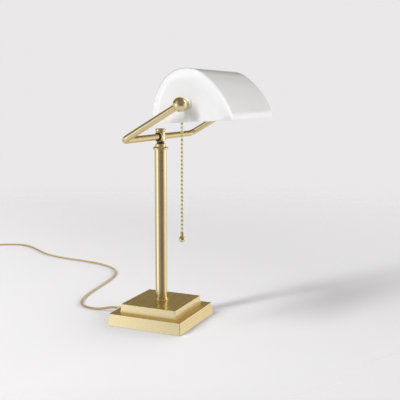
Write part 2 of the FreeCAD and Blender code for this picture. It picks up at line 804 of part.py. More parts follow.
glass = new_body("glass_shade")
shade_blank(glass, ZERO)
hollow = new_body("shade_hollow")
shade_blank(hollow, S["shade_wall"])
doc.recompute()
bowl = doc.addObject("Part::Cut", "Bowl")
bowl.Base = glass
bowl.Tool = hollow
pivot_bore = cylinder(S["bush_seat_sleeve"] + S["seat_gap"], S["shade_half"] * 2 + 2,
                      (-S["shade_half"] - 1, ZERO, ZERO), TO_FAR)
node(cut_from(bowl, pivot_bore), "glass_shade", pivot_axis)
lean(NODES[-1], Vector(-1, 0, 0), S["shade_tilt"])
for side, rotation in (("near", TO_NEAR), ("far", TO_FAR)):
    turned(f"shade_bush_{side}", [
        (nipple_outer, bush_back), (S["bush_seat_flange"] - 0.5, bush_back),
        (S["bush_seat_flange"], bush_back + 0.5), (S["bush_seat_flange"], S["shade_half"] - S["shade_wall"]),
        (S["bush_seat_sleeve"], S["shade_half"] - S["shade_wall"]), (S["bush_seat_sleeve"], S["shade_half"]),
        (S["bush_seat_flange"], S["shade_half"]), (S["bush_seat_flange"], bush_face - 0.5),
        (S["bush_seat_flange"] - 0.5, bush_face), (nipple_outer, bush_face)],
        pivot_axis, rotation)

# ---------------------------------------------------------------- lampholder, all on the near side

mouth = join - S["holder_long"]
insulator_low = join - S["insulator_long"]
chain_along = join - S["chain_before_join"]
shell_outer = S["holder_radius"]
shell_inner = shell_outer - S["holder_wall"]
turned("holder_cap", [
    (nipple_outer, join + 2), (S["holder_neck"], join + 2), (S["holder_neck"], holder_face - 2),
    (shell_inner - 4, join + 4), (shell_inner, join), (shell_outer + 0.6, join),
    (shell_outer + 0.6, join + 2), (shell_inner - 3, join + 6), (S["holder_neck"] + 1, holder_face),
    (nipple_outer, holder_face)],
    pivot_axis, TO_NEAR)
shell = new_body("holder_shell")
revolve(shell, [
    (shell_inner, mouth), (shell_outer, mouth), (shell_outer + 0.7, mouth + 0.9), (shell_outer, mouth + 1.8),
    (shell_outer, join), (shell_inner, join)])
pocket(shell, "XZ", [(0, chain_along, S["outlet_radius"] + S["seat_gap"])], shell_outer + 1, False)
node(shell, "holder_shell", pivot_axis, TO_NEAR)

body_outer = shell_inner - S["seat_gap"]
insulator = new_body("holder_insulator")
revolve(insulator, [
    (S["insulator_bore"], insulator_low), (body_outer, insulator_low), (body_outer, join - 0.5),
    (body_outer - 5, join + 0.5), (S["insulator_bore"], join + 0.5)])
link_room = S["link_head"] + S["free_gap"]
pocket(insulator, "XZ", [(0, chain_along, link_room)], body_outer + 1, False)
node(insulator, "holder_insulator", pivot_axis, TO_NEAR)

sleeve_inner = S["sleeve_radius"] - S["sleeve_wall"]
turned("holder_sleeve", ring(sleeve_inner, S["sleeve_radius"], mouth + S["sleeve_back"],
                             insulator_low - S["seat_gap"]), pivot_axis, TO_NEAR)

# ---------------------------------------------------------------- bulb

neck = S["bulb_neck"]
neck_start = join - S["bulb_neck_start"]
neck_end = join - S["bulb_neck_end"]
bulb_far = S["shade_half"] - S["bulb_set_in"]
bulb_outer = S["bulb_radius"]
bulb_inner = bulb_outer - S["bulb_wall"]
dome_start = bulb_outer - bulb_far
turned("bulb_glass", [
    (neck - S["bulb_wall"], neck_start), (neck, neck_start), (neck, neck_start - 3), (bulb_outer, neck_end),
    (bulb_outer, dome_start, -bulb_outer), (0, -bulb_far),
    (0, S["bulb_wall"] - bulb_far, bulb_inner), (bulb_inner, dome_start), (bulb_inner, neck_end),
    (neck - S["bulb_wall"], neck_start - 3)],
    pivot_axis, TO_NEAR)

base_start = neck_start - 2
base_end = join - S["base_end"]
screw = [(neck + S["seat_gap"], base_start), (neck + S["seat_gap"] + 0.5, base_start),
         (S["base_groove"], base_start + 1.5)]
for count in range(int(DIMENSIONS["thread_count"])):
    low = base_start + 3 + S["thread_pitch"] * count
    screw += [(S["base_groove"], low), (S["base_radius"], low + 0.9), (S["base_radius"], low + 1.5),
              (S["base_groove"], low + 2.4)]
screw += [
    (S["base_groove"], base_end - 3), (S["tip_radius"] + 3, base_end), (S["tip_radius"] + 2, base_end),
    (S["base_groove"] - 1, base_end - 3.2), (neck + S["seat_gap"], neck_start + 1)]
turned("bulb_base", screw, pivot_axis, TO_NEAR)
turned("bulb_tip", [
    (0, base_end - 2), (S["tip_radius"] + 1, base_end - 2), (S["tip_radius"] + 2, base_end - 0.2),
    (S["tip_radius"], base_end + 0.4), (S["tip_radius"] - 1.5, base_end + S["tip_tall"]),
    (0, base_end + S["tip_tall"])], pivot_axis, TO_NEAR)

# ---------------------------------------------------------------- switch and chain

chain_x = -chain_along
chain_y = S["chain_behind"] - pivot_front
chain_spot = (chain_x, chain_y, pivot_height)
outlet_axis = (chain_x, -pivot_front, pivot_height)
outlet_low = body_outer + S["seat_gap"]
outlet_high = S["chain_behind"] - S["outlet_clear"]
outlet = new_body("chain_outlet")
revolve(outlet, [
    (S["outlet_bore"], outlet_low), (S["outlet_radius"], outlet_low), (S["outlet_radius"], outlet_high - 1.2),
    (S["outlet_radius"] + 1.6, outlet_high), (S["outlet_bore"] + 0.6, outlet_high)])
# two ears hold the trunnions of the guide ring
ear_inner = S["guide_radius"] + S["free_gap"]
ear_outer = ear_inner + S["ear_thick"]
for sign in (-1, 1):
    doc.recompute()
    ear_sketch = new_sketch(outlet, "XZ")
    left, right = (ear_inner, ear_outer) if sign > 0 else (-ear_outer, -ear_inner)
    far_end = S["chain_behind"] + S["ear_beyond"]
    ear_low = outlet_high - 1
    draw_outline(ear_sketch, [(left, ear_low), (right, ear_low), (right, far_end), (left, far_end)])
    ear = outlet.newObject("PartDesign::Pad", "Ear")
    ear.Profile = ear_sketch
    ear.SideType = "Symmetric"
    bind(ear, "Length", S["ear_half_tall"] * 2)
doc.recompute()
trunnion_sketch = new_sketch(outlet, "YZ")
draw_circle(trunnion_sketch, 0, S["chain_behind"], S["trunnion_radius"] + S["seat_gap"])
trunnion_hole = outlet.newObject("PartDesign::Pocket", "TrunnionHole")
trunnion_hole.Profile = trunnion_sketch
trunnion_hole.SideType = "Symmetric"
bind(trunnion_hole, "Length", ear_outer * 2 + 1)
cut_away(outlet, trunnion_hole)
node(outlet, "chain_outlet", outlet_axis, TO_BACK)

guide = new_body("chain_guide")
guide_top = S["guide_half_tall"]
revolve(guide, [
    (S["guide_bore"] + 0.7, -guide_top), (S["guide_radius"] - 0.5, -guide_top),
    (S["guide_radius"], 0.5 - guide_top), (S["guide_radius"], guide_top - 0.5),
    (S["guide_radius"] - 0.5, guide_top), (S["guide_bore"] + 0.7, guide_top),
    (S["guide_bore"], guide_top - 1), (S["guide_bore"], 1 - guide_top)])
for reversed_way in (False, True):
    doc.recompute()
    pin_sketch = new_sketch(guide, "YZ")
    draw_circle(pin_sketch, 0, 0, S["trunnion_radius"])
    pin = guide.newObject("PartDesign::Pad", "Trunnion")
    pin.Profile = pin_sketch
    pin.Reversed = reversed_way
    bind(pin, "Length", ear_outer)
pocket(guide, "XY", [(0, 0, S["guide_bore"])], guide_top * 2, True, -guide_top)
node(guide, "chain_guide", chain_spot)

link_ball = S["link_head"]
turned("switch_link", [
    (0, S["link_start"]), (S["link_radius"], S["link_start"]),
    (S["link_radius"], S["link_end"] - link_ball * 2),
    (link_ball, S["link_end"] - link_ball * 1.4), (link_ball, S["link_end"] - link_ball * 0.6),
    (link_ball * 0.5, S["link_end"]), (0, S["link_end"])], outlet_axis, TO_BACK)

# one bead with the link wire below it, repeated down the chain
chain = new_body("pull_chain")
bead_ball = S["bead_radius"]
wire = S["bead_link"]
bead_half = root(bead_ball * bead_ball - wire * wire)
wire_end = bead_half * 0.9 - S["bead_pitch"]
revolve(chain, [
    (0, wire_end), (wire, wire_end), (wire, -bead_half, bead_ball), (wire, bead_half), (0, bead_half)])
doc.recompute()
row_of_beads = chain.newObject("PartDesign::LinearPattern", "Beads")
row_of_beads.Originals = [chain.Group[1]]
row_of_beads.Direction = (chain.Group[0], ["V_Axis"])
row_of_beads.Reversed = True
bind(row_of_beads, "Length", S["bead_pitch"] * (S["bead_count"] - 1))
row_of_beads.setExpression("Occurrences", S["bead_count"].text)
chain.Tip = row_of_beads
chain_top = pivot_height + S["chain_top_up"]
node(chain, "pull_chain", (chain_x, chain_y, chain_top))
last_bead = chain_top - S["bead_pitch"] * (S["bead_count"] - 1)
ball_up = S["pull_ball_radius"]
connector = S["connector_radius"]
connector_low = ball_up - S["pull_ball_below"] + S["seat_gap"]
turned("chain_connector", [
    (0, connector_low), (connector - 0.4, connector_low), (connector, connector_low + 0.4),
    (connector, -0.6), (connector - 0.5, 0.4), (bead_ball + S["seat_gap"], 0.4),
    (bead_ball + S["seat_gap"], wire_end - S["seat_gap"]), (0, wire_end - S["seat_gap"])],
    (chain_x, chain_y, last_bead))
turned("pull_ball", [
    (0, -ball_up, ball_up), (ball_up, 0, ball_up), (0, ball_up)],
    (chain_x, chain_y, last_bead - S["pull_ball_below"]))

# ---------------------------------------------------------------- leads, cord and plug

def tube_path(points, bend=None):
    """Straight runs joined by tangent arcs, each as large as its two runs allow or of one radius."""
    points = [Vector(*point) for point in points]
    edges = []
    radii = []
    start = points[0]
    for before, corner, after in zip(points, points[1:], points[2:]):
        into = corner - before
        out = after - corner
        half_turn = into.getAngle(out) / 2
        radius = bend or 0.45 * min(into.Length, out.Length) / math.tan(half_turn)
        radii.append(radius)
        reach_back = radius * math.tan(half_turn)
        arc_start = corner - into.normalize() * reach_back
        arc_end = corner + out.normalize() * reach_back
        inwards = (arc_start + arc_end) * 0.5 - corner
        arc_middle = corner + inwards.normalize() * (radius / math.cos(half_turn) - radius)
        edges.append(Part.LineSegment(start, arc_start).toShape())
        edges.append(Part.Arc(arc_start, arc_middle, arc_end).toShape())
        start = arc_end
    edges.append(Part.LineSegment(start, points[-1]).toShape())
    return Part.Wire(edges), radii


def tube(label, points, radius, bend=None):
    """A round tube swept along a path, its volume compared with its section times its length."""
    path, radii = tube_path(points, bend)
    along = Vector(*points[1]) - Vector(*points[0])
    circle = Part.Wire(Part.makeCircle(radius, Vector(*points[0]), along))
    solid = path.makePipeShell([circle], True, True)
    expected = math.pi * radius ** 2 * path.Length
    if abs(solid.Volume / expected - 1) > 0.01:
        raise RuntimeError(f"{label}: volume {solid.Volume:.1f}, expected {expected:.1f}")
    thing = doc.addObject("Part::Feature", "Tube")
    thing.Shape = solid
    print(f"{label}: length {path.Length:.1f}, smallest radius {min(radii):.1f}")
    return node(thing, label)


def value(name):
    return sheet.get(name)


flange_start = S["lower_foot"] / 2
flange_end = flange_start + S["gland_flange_thick"]
wall_inner = lower_top / 2 - S["plate_wall"] - 0.6
relief_inner = wall_inner - 2
gland_tip = flange_start + S["gland_out"]
turned("cord_relief", [
    (0, relief_inner), (S["gland_flange"] - 1, relief_inner), (S["gland_flange"] - 1, wall_inner),
    (S["gland_neck"], wall_inner), (S["gland_neck"], flange_start), (S["gland_flange"], flange_start),
    (S["gland_flange"], flange_end - 0.6), (S["gland_flange"] - 0.6, flange_end),
    (S["gland_root"], flange_end), (S["gland_tip"], gland_tip), (0, gland_tip)],
    (ZERO, ZERO, S["cord_exit_up"]), TO_BACK)

lead = value("lead_radius")
lead_bend = value("lead_bend")
under_rod = value("rod_start") - lead - 0.2
column_turn_up = rod_high.number - 3
tube("column_lead", [
    (0, relief_inner.number - 0.3, value("cord_exit_up")), (0, 16, under_rod), (0, 0, under_rod),
    (0, 0, column_turn_up)], lead, lead_bend)
back, down = along_arm(S["ball_socket"])
arm_front = -pivot_front.number
ball_x = -half.number
corner_in = value("yoke_bend") * 0.3
tube("yoke_lead", [
    (-1, 0, bar_height.number), (ball_x + corner_in, 0, bar_height.number),
    (ball_x, -corner_in * 0.87, bar_height.number + corner_in * 0.5),
    (ball_x, arm_front, pivot_height.number),
    (-holder_face.number + 6, arm_front, pivot_height.number)], lead * 0.8, lead_bend * 0.8)

cord = value("cord_diameter")
tube("mains_cord", CORD_ROUTE, cord / 2)
coil_middle = S["coil_mean_radius"]
coil_half_wide = S["cord_diameter"] * S["coil_rings"] / 2
coil_inner = coil_middle - coil_half_wide
coil_outer = coil_middle + coil_half_wide
coil_tall = S["cord_diameter"] * 2
soft = S["cord_diameter"] * 0.3
coil_at = (as_size(COIL_CENTRE[0]), as_size(COIL_CENTRE[1]), S["coil_lift"])
turned("cord_coil", [
    (coil_inner, soft), (coil_inner + soft, 0), (coil_outer - soft, 0), (coil_outer, soft),
    (coil_outer, coil_tall - soft), (coil_outer - soft, coil_tall), (coil_inner + soft, coil_tall),
    (coil_inner, coil_tall - soft)], coil_at)
tie = new_body("coil_tie")
tie_gap = S["seat_gap"]
tie_frames = []
for grow in (ZERO, S["tie_thick"]):
    sketch = new_sketch(tie, "YZ")
    low = -tie_gap - grow
    high = coil_tall + tie_gap + grow
    inner = coil_inner - tie_gap - 0.6 - grow
    outer = coil_outer + tie_gap + grow
    draw_outline(sketch, [(inner, low), (outer, low), (outer, high), (inner, high)])
    tie_frames.insert(0, sketch)
for kind, sketch in zip(("Pad", "Pocket"), tie_frames):
    strap = tie.newObject("PartDesign::" + kind, "Strap")
    strap.Profile = sketch
    strap.SideType = "Symmetric"
    bind(strap, "Length", S["tie_wide"])
    doc.recompute()
node(tie, "coil_tie", coil_at)
lean(tie, Vector(0, 0, 1), as_size(110))
tube("cord_tail", TAIL_ROUTE, cord / 2)

# the plug lies flat, its own Z axis along the cord
plug_end = Vector(*TAIL_ROUTE[-1])
TO_PLUG = Rotation(Vector(0, 0, 1), PLUG_TURN).multiply(Rotation(Vector(0, 1, 0), 90))
plug_at = tuple(as_size(part) for part in plug_end)
relief = S["plug_relief"]
turned("plug_relief", [
    (0, 0), (cord_radius + 0.8, 0), (S["gland_root"] + 0.6, relief - 2), (S["gland_root"] + 0.6, relief),
    (0, relief)], plug_at, TO_PLUG)
plug = new_body("plug_body")
plug_sketch = new_sketch(plug, "XY", relief)
tall = S["plug_tall"] / 2
wide = S["plug_wide"] / 2
draw_outline(plug_sketch, [(-tall, -wide), (tall, -wide), (tall, wide), (-tall, wide)])
plug_pad = plug.newObject("PartDesign::Pad", "Pad")
plug_pad.Profile = plug_sketch
bind(plug_pad, "Length", S["plug_long"])
round_edges(plug, plug_pad, lambda edge: edge.CenterOfMass.z < (relief + S["plug_long"]).number - 0.01,
            S["plug_round"])
node(plug, "plug_body", plug_at, TO_PLUG)
for name, sign in (("left", -1), ("right", 1)):
    blade = new_body(f"plug_blade_{name}")
    blade_sketch = new_sketch(blade, "XY", relief + S["plug_long"])
    middle = S["blade_apart"] / 2 * sign
    thin = S["blade_thick"] / 2
    high = S["blade_tall"] / 2
    draw_outline(blade_sketch, [(-high, middle - thin), (high, middle - thin), (high, middle + thin),
                                (-high, middle + thin)])
    blade_pad = blade.newObject("PartDesign::Pad", "Pad")
    blade_pad.Profile = blade_sketch
    bind(blade_pad, "Length", S["blade_long"])
    round_edges(blade, blade_pad, lambda edge: edge.CenterOfMass.z > (relief + S["plug_long"]).number + 1
                and abs(edge.tangentAt(edge.FirstParameter).z) < 0.1
                and abs(abs(edge.CenterOfMass.x) - high.number) < 0.01, S["blade_thick"] / 2)
    node(blade, f"plug_blade_{name}", plug_at, TO_PLUG)

# ---------------------------------------------------------------- checks and export

doc.recompute()
for thing in doc.Objects:
    if "Invalid" in thing.State or "Error" in thing.State:
        raise RuntimeError(f"{thing.Name} ({thing.Label}): {thing.State}")
labels = [thing.Label for thing in NODES]
if len(set(labels)) != len(labels):
    raise RuntimeError("two sub-parts share a label")
for thing in NODES:
    if thing.Shape.isNull() or not thing.Shape.isValid() or len(thing.Shape.Solids) != 1:
        raise RuntimeError(f"{thing.Label}: not one valid solid")
os.makedirs("parts", exist_ok=True)
for thing in NODES:
    thing.Shape.exportStep(f"parts/{thing.Label}.step")
print(f"{len(NODES)} sub-parts written")
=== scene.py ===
import json
import math

import bmesh
import bpy
from mathutils import Matrix, Vector


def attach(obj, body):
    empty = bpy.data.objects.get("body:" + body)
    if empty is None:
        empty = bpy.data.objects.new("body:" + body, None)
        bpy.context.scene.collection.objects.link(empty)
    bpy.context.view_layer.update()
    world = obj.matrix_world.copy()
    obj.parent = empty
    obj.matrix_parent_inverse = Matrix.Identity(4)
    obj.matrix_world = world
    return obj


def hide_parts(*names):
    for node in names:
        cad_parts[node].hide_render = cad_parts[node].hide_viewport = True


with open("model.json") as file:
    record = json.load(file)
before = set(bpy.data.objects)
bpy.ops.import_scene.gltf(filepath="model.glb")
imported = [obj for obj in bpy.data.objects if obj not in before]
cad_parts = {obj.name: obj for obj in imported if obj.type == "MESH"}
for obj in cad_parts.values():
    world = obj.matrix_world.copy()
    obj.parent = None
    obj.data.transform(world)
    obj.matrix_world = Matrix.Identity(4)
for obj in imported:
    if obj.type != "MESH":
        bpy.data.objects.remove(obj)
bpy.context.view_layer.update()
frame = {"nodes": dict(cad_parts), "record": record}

print("frame loaded:", len(frame["nodes"]), "nodes")

millimetre = 0.001
scene = bpy.context.scene
scene.view_settings.view_transform = "Standard"

# camera

viewpoint = {
    "place": (-0.9963, -0.5065, 0.3622),
    "turn": 23.755,      # degrees from +X towards +Y
    "dip": 8.433,
    "roll": 0.113,
    "lens": 63.82,
    "film": 36.0,
}


def setCamera(facts):
    turn, dip = math.radians(facts["turn"]), math.radians(facts["dip"])
    ahead = Vector((math.cos(dip) * math.cos(turn), math.cos(dip) * math.sin(turn), -math.sin(dip)))
    data = bpy.data.cameras.new("viewCamera")
    data.lens = facts["lens"]
    data.sensor_width = facts["film"]
    camera = bpy.data.objects.new("viewCamera", data)
    facing = ahead.to_track_quat("-Z", "Y").to_matrix().to_4x4()
    camera.matrix_world = (Matrix.Translation(facts["place"]) @ facing
                           @ Matrix.Rotation(math.radians(facts["roll"]), 4, "Z"))
    scene.collection.objects.link(camera)
    scene.camera = camera


setCamera(viewpoint)
print("camera placed")


# shader wiring

class Wire:
    def __init__(self, tree, socket=None):
        self.tree = tree
        self.socket = socket

    def node(self, kind, settings, sockets, take=0):
        made = self.tree.nodes.new(kind)
        for name, setting in settings.items():
            if name == "stops":
                fillRamp(made.color_ramp, setting)
            else:
                setattr(made, name, setting)
        for name, given in sockets.items():
            if isinstance(given, Wire):
                self.tree.links.new(given.socket, made.inputs[name])
            else:
                made.inputs[name].default_value = given
        return Wire(self.tree, made.outputs[take] if made.outputs else None)

    def maths(self, operation, first, second=0.0):
        return self.node("ShaderNodeMath", {"operation": operation}, {0: first, 1: second})

    def __add__(self, other):
        return self.maths("ADD", self, other)

    def __radd__(self, other):
        return self.maths("ADD", other, self)

    def __sub__(self, other):
        return self.maths("SUBTRACT", self, other)

    def __rsub__(self, other):
        return self.maths("SUBTRACT", other, self)

    def __mul__(self, other):
        return self.maths("MULTIPLY", self, other)

    def __rmul__(self, other):
        return self.maths("MULTIPLY", other, self)

    def __truediv__(self, other):
        return self.maths("DIVIDE", self, other)

    def __pow__(self, other):
        return self.maths("POWER", self, other)

    def __gt__(self, other):
        return self.maths("GREATER_THAN", self, other)

    def __lt__(self, other):
        return self.maths("LESS_THAN", self, other)

    def size(self):
        return self.maths("ABSOLUTE", self)

    def wave(self):
        return self.maths("SINE", self)

    def larger(self, other):
        return self.maths("MAXIMUM", self, other)

    def between(self, low, high):
        # 0 at low, 1 at high, smooth in between
        return self.node("ShaderNodeMapRange", {"interpolation_type": "SMOOTHSTEP"},
                         {"Value": self, "From Min": low, "From Max": high})

    def axes(self):
        split = self.node("ShaderNodeSeparateXYZ", {}, {0: self})
        owner = split.socket.node
        return [Wire(self.tree, owner.outputs[i]) for i in range(3)]

    def scaled(self, x, y, z):
        return self.node("ShaderNodeVectorMath", {"operation": "MULTIPLY"}, {0: self, 1: (x, y, z)})

    def grain(self, scale, detail, rough):
        return self.node("ShaderNodeTexNoise", {}, {"Vector": self, "Scale": scale, "Detail": detail,
                                                    "Roughness": rough})

    def blend(self, first, second):
        # the first colour where this is 0, the second where it is 1
        return self.node("ShaderNodeMix", {"data_type": "RGBA"},
                         {0: self, 6: opaque(first), 7: opaque(second)}, take=2)

    def relief(self, depth, strength):
        return self.node("ShaderNodeBump", {}, {"Height": self, "Distance": depth, "Strength": strength})


def fillRamp(ramp, stops):
    while len(ramp.elements) > 1:
        ramp.elements.remove(ramp.elements[-1])
    ramp.elements[0].position, ramp.elements[0].color = stops[0]
    for place, colour in stops[1:]:
        ramp.elements.new(place).color = colour


def opaque(colour):
    return (*colour, 1.0)


def makeFinish(name, paint):
    finish = bpy.data.materials.new(name)
    finish.use_nodes = True
    tree = finish.node_tree
    tree.nodes.clear()
    start = Wire(tree)
    shader = paint(start)
    start.node("ShaderNodeOutputMaterial", {}, {"Surface": shader})
    return finish


def objectPlace(start):
    return start.node("ShaderNodeTexCoord", {}, {}, take=3)


def objectFacing(start):
    return start.node("ShaderNodeTexCoord", {}, {}, take=1)


def surface(start, **sockets):
    return start.node("ShaderNodeBsdfPrincipled", {}, sockets)


# brass

brassLook = {
    "colour": (0.94, 0.81, 0.50),
    "deepColour": (0.90, 0.76, 0.44),
    "edgeTint": (0.88, 0.74, 0.45),   # how the metal reflects at a low angle
    "roughness": 0.19,
    "lineRoughness": 0.08,
    "cloudRoughness": 0.02,
    "fineLines": 2400.0,              # noise scale per metre across the brushing
    "along": 9.0,                     # and along it
    "plateLines": 850.0,              # the coarser brushing of the base
    "clouds": 24.0,
    "lineShare": 0.75,                # of the change in colour; the rest is cloud
    "colourSpread": 0.3,
    "lineDepth": 0.000005,
    "lineRelief": 0.3,
    "tubeContrast": 0.7,
    "plateContrast": 1.9,
    "bends": (0.103, 0.113),          # metres from the yoke's middle
    "levelAbove": 0.7,                # upright part of the normal on a plate's top
}


def brassSurface(start, lines, contrast=1.0):
    look = brassLook
    share = look["lineShare"]
    spread = look["colourSpread"] / contrast
    cloud = objectPlace(start).grain(look["clouds"], 2.0, 0.5)
    mask = (lines * share + cloud * (1 - share)).between(0.5 - spread, 0.5 + spread)
    rough = lines * (look["lineRoughness"] * contrast) + cloud * look["cloudRoughness"] + look["roughness"]
    return surface(start, **{"Base Color": mask.blend(look["deepColour"], look["colour"]),
                             "Metallic": 1.0, "Roughness": rough,
                             "Specular Tint": opaque(look["edgeTint"]),
                             "Normal": lines.relief(look["lineDepth"], look["lineRelief"] * contrast)})


def brushLines(place, *fineAxes, fine=brassLook["fineLines"]):
    scale = [fine if axis in fineAxes else brassLook["along"] for axis in "xyz"]
    return place.scaled(*scale).grain(1.0, 3.0, 0.6)


def turnedBrass(axis):
    # lathe marks go round the axis that the piece was turned about
    return lambda start: brassSurface(start, brushLines(objectPlace(start), axis))


def drawnBrass(start):
    # polishing marks run up the column
    return brassSurface(start, brushLines(objectPlace(start), "x", "y"), brassLook["tubeContrast"])


def yokeBrass(start):
    # marks follow the tube: along the bar between its bends, and up the arms beyond them
    place = objectPlace(start)
    onArm = place.axes()[0].size().between(*brassLook["bends"])
    lines = brushLines(place, "y", "z") * (1 - onArm) + brushLines(place, "x") * onArm
    return brassSurface(start, lines, brassLook["tubeContrast"])


def plateBrass(start):
    # lines run level round the sides and from left to right on top
    place = objectPlace(start)
    upward = objectFacing(start).axes()[2].size() > brassLook["levelAbove"]
    fine = brassLook["plateLines"]
    sides = brushLines(place, "z", fine=fine)
    return brassSurface(start, sides * (1 - upward) + brushLines(place, "y", fine=fine) * upward,
                        brassLook["plateContrast"])


chainLook = {
    "colour": (0.86, 0.70, 0.34),
    "paleColour": (0.95, 0.82, 0.46),
    "roughness": 0.2,
    "cloudRoughness": 0.12,
    "clouds": 160.0,
    "depth": 0.00001,
    "relief": 0.2,
}


def polishedBrass(start):
    look = chainLook
    cloud = objectPlace(start).grain(look["clouds"], 3.0, 0.6)
    return surface(start, **{"Base Color": cloud.between(0.35, 0.7).blend(look["colour"], look["paleColour"]),
                             "Metallic": 1.0, "Roughness": cloud * look["cloudRoughness"] + look["roughness"],
                             "Normal": cloud.relief(look["depth"], look["relief"])})


# glass, ceramic and plastics

evenDepth = (1.0, 1.0, 1.0)           # red, green and blue light go equally deep
glassLook = {
    "colour": (0.893, 0.903, 0.918),
    "paleColour": (0.908, 0.918, 0.933),
    "roughness": 0.07,
    "speckRoughness": 0.05,
    "coatRoughness": 0.03,
    "clouds": 9.0,
    "specks": 900.0,
    "ripples": 14.0,
    "depth": 0.0006,
    "relief": 0.25,
    "milk": 0.6,
    "milkDepth": 0.015,
}


def opalGlass(start):
    look = glassLook
    place = objectPlace(start)
    cloud = place.grain(look["clouds"], 2.0, 0.5).between(0.3, 0.7)
    speck = place.grain(look["specks"], 2.0, 0.5).between(0.62, 0.75)
    ripple = place.grain(look["ripples"], 1.0, 0.4)
    return surface(start, **{"Base Color": cloud.blend(look["colour"], look["paleColour"]),
                             "Roughness": speck * look["speckRoughness"] + look["roughness"], "IOR": 1.5,
                             "Subsurface Weight": look["milk"], "Subsurface Scale": look["milkDepth"],
                             "Subsurface Radius": evenDepth,
                             "Coat Weight": 1.0, "Coat Roughness": look["coatRoughness"],
                             "Normal": ripple.relief(look["depth"], look["relief"])})


bulbLook = {
    "colour": (0.93, 0.93, 0.91),
    "roughness": 0.22,
    "grainRoughness": 0.15,
    "grains": 1500.0,
    "depth": 0.00002,
    "relief": 0.3,
    "milk": 0.3,
    "milkDepth": 0.006,
}


def frostedBulb(start):
    look = bulbLook
    grain = objectPlace(start).grain(look["grains"], 2.0, 0.6)
    return surface(start, **{"Base Color": opaque(look["colour"]),
                             "Roughness": grain * look["grainRoughness"] + look["roughness"],
                             "Subsurface Weight": look["milk"], "Subsurface Scale": look["milkDepth"],
                             "Subsurface Radius": evenDepth,
                             "Normal": grain.relief(look["depth"], look["relief"])})


ceramicLook = {
    "colour": (0.88, 0.87, 0.83),
    "speckColour": (0.78, 0.75, 0.68),
    "roughness": 0.12,
    "speckRoughness": 0.1,
    "specks": 420.0,
    "depth": 0.00003,
    "relief": 0.3,
}


def glazedCeramic(start):
    look = ceramicLook
    speck = objectPlace(start).grain(look["specks"], 3.0, 0.6)
    mask = speck.between(0.55, 0.75)
    return surface(start, **{"Base Color": mask.blend(look["colour"], look["speckColour"]),
                             "Roughness": speck * look["speckRoughness"] + look["roughness"],
                             "Normal": speck.relief(look["depth"], look["relief"])})


plasticLook = {
    "pebbles": 1200.0,
    "wears": 60.0,
    "wornTimes": 1.35,                # worn places are paler
    "wornMore": 0.008,
    "pebbleRoughness": 0.15,
    "wearRoughness": 0.05,
    "depth": 0.00003,
    "relief": 0.5,
}


def moulded(colour, roughness):
    def paint(start):
        look = plasticLook
        place = objectPlace(start)
        skin = place.grain(look["pebbles"], 3.0, 0.6)
        wear = place.grain(look["wears"], 3.0, 0.6).between(0.4, 0.75)
        worn = tuple(min(1.0, channel * look["wornTimes"] + look["wornMore"]) for channel in colour)
        rough = skin * look["pebbleRoughness"] + wear * look["wearRoughness"] + roughness
        return surface(start, **{"Base Color": wear.blend(colour, worn), "Roughness": rough,
                                 "Normal": skin.relief(look["depth"], look["relief"])})
    return paint


metalLook = {
    "stains": 45.0,
    "stainShade": 0.72,
    "grainRoughness": 0.2,
    "stainRoughness": 0.1,
    "relief": 0.6,
}


def greyMetal(colour, roughness, grainScale, depth):
    def paint(start):
        look = metalLook
        place = objectPlace(start)
        grain = place.grain(grainScale, 4.0, 0.65)
        stain = place.grain(look["stains"], 3.0, 0.6).between(0.35, 0.75)
        darker = tuple(channel * look["stainShade"] for channel in colour)
        rough = grain * look["grainRoughness"] + stain * look["stainRoughness"] + roughness
        return surface(start, **{"Base Color": stain.blend(colour, darker), "Metallic": 1.0,
                                 "Roughness": rough, "Normal": grain.relief(depth, look["relief"])})
    return paint


feltLook = {
    "colour": (0.020, 0.022, 0.020),
    "paleColour": (0.060, 0.062, 0.056),
    "fibres": 2600.0,
    "tufts": 380.0,
    "fibreShare": 0.6,
    "roughness": 0.95,
    "sheen": 0.4,
    "depth": 0.0003,
    "relief": 0.6,
}


def pressedFelt(start):
    look = feltLook
    place = objectPlace(start)
    fibre = place.grain(look["fibres"], 4.0, 0.75)
    tuft = place.grain(look["tufts"], 3.0, 0.6)
    mask = (fibre * look["fibreShare"] + tuft * (1 - look["fibreShare"])).between(0.35, 0.68)
    return surface(start, **{"Base Color": mask.blend(look["colour"], look["paleColour"]),
                             "Roughness": look["roughness"], "Sheen Weight": look["sheen"],
                             "Normal": (fibre + tuft).relief(look["depth"], look["relief"])})


# cord

cordFacts = {
    "thick": 3.8,
    "braidTurn": 9.0,        # strands each way round the cord
    "braidStep": 9.5,        # length in which a strand goes once round
    "strandDepth": 0.00022,
    "strandRelief": 0.7,
    "roughness": 0.55,
    "fleckRoughness": 0.15,
    "sheen": 0.25,
    "flecks": 700.0,
    "fades": 9.0,
    "shares": (0.5, 0.3, 0.2),  # of fleck, fade and strand in the colour
    "goldColour": (0.46, 0.33, 0.15),
    "brownColour": (0.25, 0.165, 0.075),
}
cordRoute = [
    (0, 82.5, 9), (0, 93, 9), (0, 109, 4.6), (0, 125, 1.95), (1, 141, 1.95), (6, 154, 1.95),
    (17, 166, 1.95), (34, 175, 1.95), (57, 183, 1.95), (91, 190, 1.95), (134, 196, 1.95),
    (177, 203, 1.95), (210, 212, 1.95), (233, 223, 1.95), (254, 239, 1.95), (271, 263, 1.95),
    (284, 298, 1.95), (291, 340, 1.95), (295, 382, 1.95), (301, 419, 1.95), (314, 455, 1.95),
    (334, 487, 1.95), (354, 517, 1.95), (370, 548, 1.95), (373, 576, 1.95), (360, 604, 1.95),
    (342, 628, 2.1), (326, 652, 2.5),
]
tailRoute = [
    (288, 673.5, 6), (266, 672, 2.6), (240, 669, 1.95), (216, 672, 3.2), (196, 677, 8), (180, 680, 8),
]
